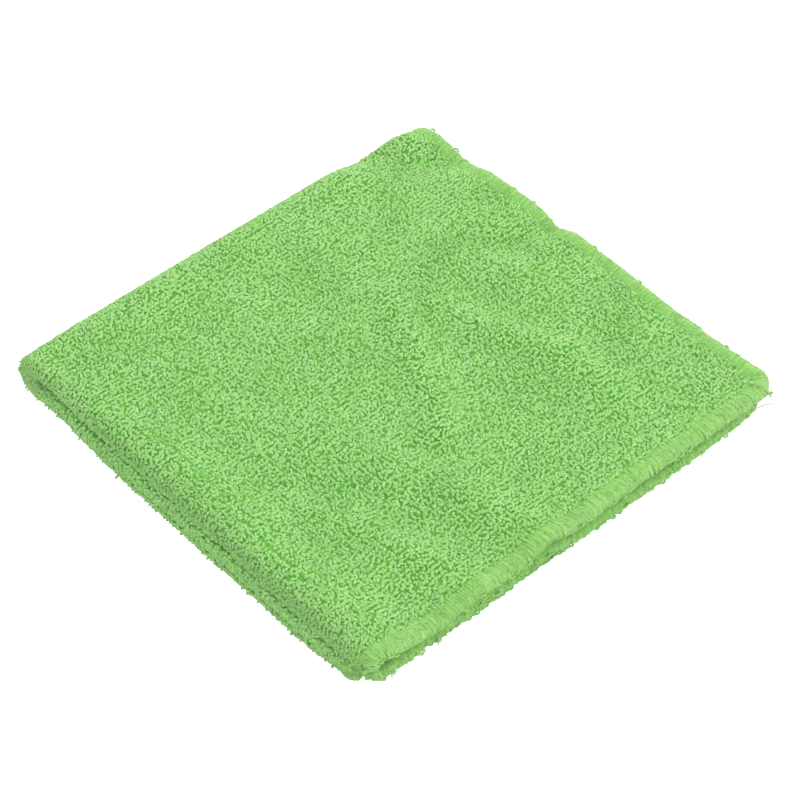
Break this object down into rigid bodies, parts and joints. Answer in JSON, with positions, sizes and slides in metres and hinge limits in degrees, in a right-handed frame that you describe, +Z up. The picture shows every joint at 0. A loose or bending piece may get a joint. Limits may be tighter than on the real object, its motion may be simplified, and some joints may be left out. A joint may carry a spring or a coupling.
{
  "type": "microfibre cloth",
  "caption": "Square green microfibre terry cloth with an overlocked edge, folded in quarters and lying flat.",
  "frame": {"origin": "middle of the folded cloth's underside, on the surface it lies on", "axes": "+Z up from the underside through the four layers; +X towards the open side where the hems of the two pairs show; +Y towards the other open side, so the first fold is on -Y and the second fold, which wraps the stack, on -X"},
  "size_m": [0.1519, 0.1506, 0.018],
  "materials": {
    "terry": "looped microfibre pile on both faces, dull, with a flat overlocked edge"
  },
  "bodies": {
    "root": {"cloth": "terry"}
  },
  "joints": []
}
